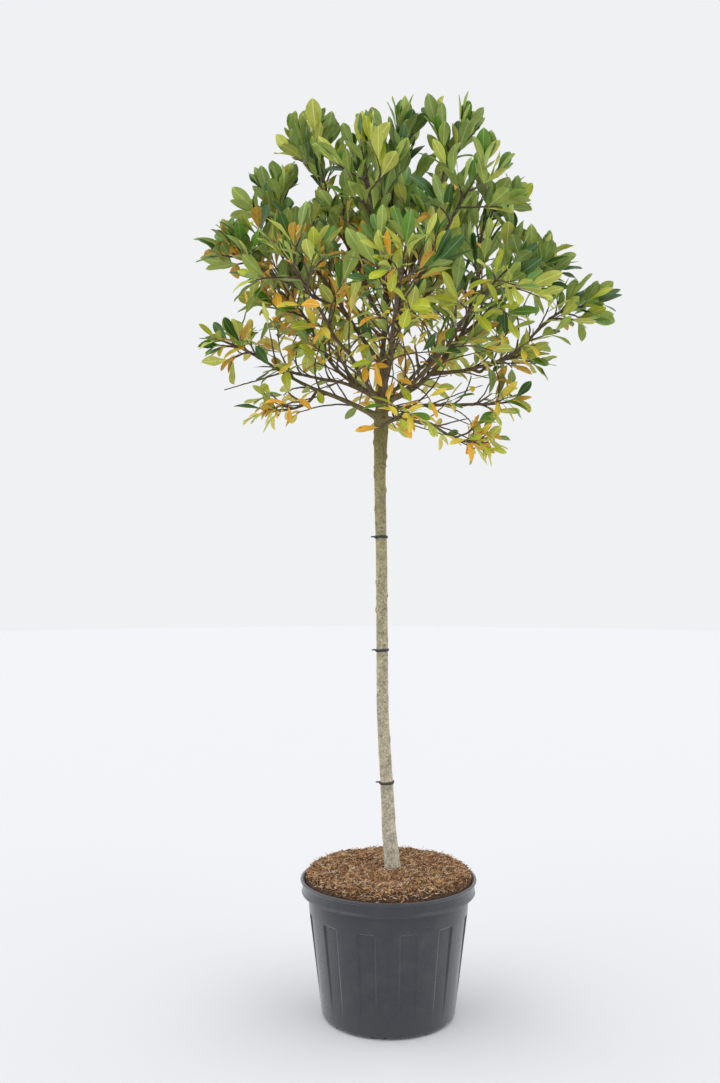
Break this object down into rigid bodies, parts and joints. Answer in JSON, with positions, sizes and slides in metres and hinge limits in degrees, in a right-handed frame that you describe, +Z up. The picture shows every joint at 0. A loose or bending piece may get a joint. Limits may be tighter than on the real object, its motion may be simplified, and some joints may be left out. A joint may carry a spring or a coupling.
{
  "type": "potted magnolia tree",
  "caption": "Young magnolia trained as a standard, with a clear tied stem and a round open crown of boughs and leaves, in a ribbed nursery pot.",
  "frame": {"origin": "centre of the pot's flat underside, on the floor", "axes": "+Z up the stem; -Y towards the front, the side that the picture shows; +X to the right in the picture"},
  "size_m": [1.1707, 1.0278, 2.5127],
  "materials": {
    "pot": "moulded black polypropylene, semi-matt, dusty and lightly scuffed",
    "soil": "shredded bark and coir fibre, loose and matt",
    "bark": "thin grey-beige bark with green algae towards the crown, matt",
    "ties": "soft black tie, matt",
    "foliage": "leathery leaves, satin above and paler and matt below, some yellow and orange"
  },
  "bodies": {
    "root": {"back_left": "bark", "back_left_foliage": "foliage", "back_right": "bark", "back_right_foliage": "foliage", "bough_right": "bark", "bough_right_foliage": "foliage", "far_right": "bark", "far_right_foliage": "foliage", "flat_left": "bark", "flat_left_foliage": "foliage", "front_left": "bark", "front_left_foliage": "foliage", "front_middle": "bark", "front_middle_foliage": "foliage", "front_right": "bark", "front_right_foliage": "foliage", "hanging_left": "bark", "hanging_left_foliage": "foliage", "leader": "bark", "leader_foliage": "foliage", "leader_left": "bark", "leader_left_foliage": "foliage", "level_left": "bark", "level_left_foliage": "foliage", "level_right": "bark", "level_right_foliage": "foliage", "low_back": "bark", "low_back_foliage": "foliage", "low_front": "bark", "low_front_foliage": "foliage", "low_left": "bark", "low_left_foliage": "foliage", "low_right": "bark", "low_right_foliage": "foliage", "pot": "pot", "right_spur": "bark", "right_spur_foliage": "foliage", "shoulder_left": "bark", "shoulder_left_foliage": "foliage", "shoulder_right": "bark", "shoulder_right_foliage": "foliage", "soil": "soil", "steep_left": "bark", "steep_left_foliage": "foliage", "tie_1": "ties", "tie_2": "ties", "tie_3": "ties", "top_back": "bark", "top_back_foliage": "foliage", "top_front": "bark", "top_front_foliage": "foliage", "trunk": "bark", "upper_front": "bark", "upper_front_foliage": "foliage", "upper_left": "bark", "upper_left_foliage": "foliage", "upper_right": "bark", "upper_right_foliage": "foliage", "upright_right": "bark", "upright_right_foliage": "foliage"}
  },
  "joints": []
}
